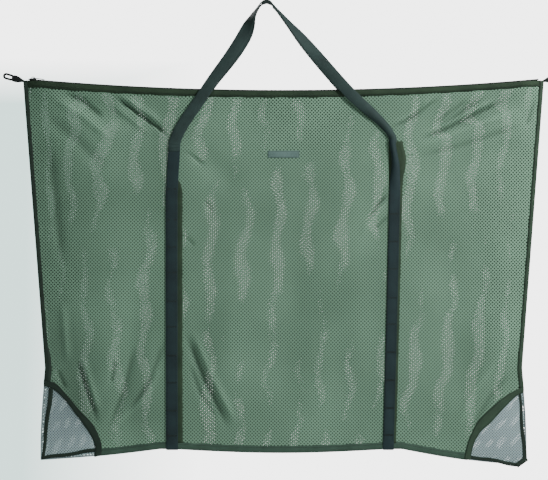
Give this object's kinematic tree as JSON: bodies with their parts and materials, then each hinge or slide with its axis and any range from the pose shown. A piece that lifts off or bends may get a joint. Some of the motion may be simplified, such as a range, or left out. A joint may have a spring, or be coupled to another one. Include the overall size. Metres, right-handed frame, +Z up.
{
  "type": "carp sack",
  "caption": "Wide flat net fish sack with a zipped mouth, grey drainage corners, two sewn carrying straps that rise into hanging handles, and a loop at each top corner.",
  "frame": {"origin": "the point of the peg that both carrying handles hang on, at the underside of their webbing", "axes": "+X along the mouth towards the right-hand end as pictured, +Y from the front panel to the back panel, +Z up"},
  "size_m": [1.2876, 0.06, 1.0641],
  "materials": {
    "green_net": "matte grey-green net",
    "grey_net": "matte grey net, finer than the green",
    "olive_tape": "matte dark olive tape",
    "dark_webbing": "woven webbing, dark blue-grey",
    "label": "matte grey-blue, bare",
    "zip_fabric": "matte black tape",
    "zip_teeth": "black plastic",
    "zip_metal": "dark lacquered metal"
  },
  "bodies": {
    "sack": {"front_net": "green_net", "back_net": "green_net", "front_left_drain_net": "grey_net", "front_right_drain_net": "grey_net", "back_left_drain_net": "grey_net", "back_right_drain_net": "grey_net", "front_left_drain_tape": "olive_tape", "front_right_drain_tape": "olive_tape", "back_left_drain_tape": "olive_tape", "back_right_drain_tape": "olive_tape", "left_side_binding": "olive_tape", "right_side_binding": "olive_tape", "bottom_binding": "olive_tape", "front_left_mouth_hem": "olive_tape", "front_right_mouth_hem": "olive_tape", "back_left_mouth_hem": "olive_tape", "back_right_mouth_hem": "olive_tape", "left_strap": "dark_webbing", "right_strap": "dark_webbing", "front_left_strap_backing": "olive_tape", "front_right_strap_backing": "olive_tape", "back_left_strap_backing": "olive_tape", "back_right_strap_backing": "olive_tape", "label": "label", "front_zip_tape": "zip_fabric", "back_zip_tape": "zip_fabric", "front_zip_chain": "zip_teeth", "back_zip_chain": "zip_teeth", "front_zip_top_stop": "zip_metal", "back_zip_top_stop": "zip_metal", "zip_bottom_stop": "zip_metal"},
    "front_handle": {"front_handle": "dark_webbing"},
    "back_handle": {"back_handle": "dark_webbing"},
    "left_loop": {"left_corner_loop": "dark_webbing"},
    "right_loop": {"right_corner_loop": "dark_webbing"},
    "slider": {"zip_slider": "zip_metal"},
    "pull": {"zip_pull": "zip_metal"}
  },
  "joints": [
    {"name": "front_handle_fold", "type": "hinge", "parent": "sack", "child": "front_handle", "pos_m": [0.04275, -0.02218, -0.31923], "axis": [0.9995, -0.0007, -0.0315], "range_deg": [0, 165]},
    {"name": "back_handle_fold", "type": "hinge", "parent": "sack", "child": "back_handle", "pos_m": [0.04275, 0.02218, -0.31923], "axis": [-0.9995, -0.0007, 0.0315], "range_deg": [0, 165]},
    {"name": "left_loop_bend", "type": "hinge", "parent": "sack", "child": "left_loop", "pos_m": [-0.5601, 0, -0.181], "axis": [0, 1, 0], "range_deg": [-50, 15]},
    {"name": "right_loop_bend", "type": "hinge", "parent": "sack", "child": "right_loop", "pos_m": [0.6381, 0, -0.181], "axis": [0, -1, 0], "range_deg": [-50, 15]},
    {"name": "zip_run", "type": "hinge", "parent": "sack", "child": "slider", "pos_m": [0.039, 0, 6.48957], "axis": [0, -1, 0], "range_deg": [0, 9.8], "deforming": ["front_zip_chain", "back_zip_chain"]},
    {"name": "pull_swing", "type": "hinge", "parent": "slider", "child": "pull", "pos_m": [-0.53412, 0, -0.175], "axis": [0, -1, 0], "range_deg": [0, 140]}
  ]
}
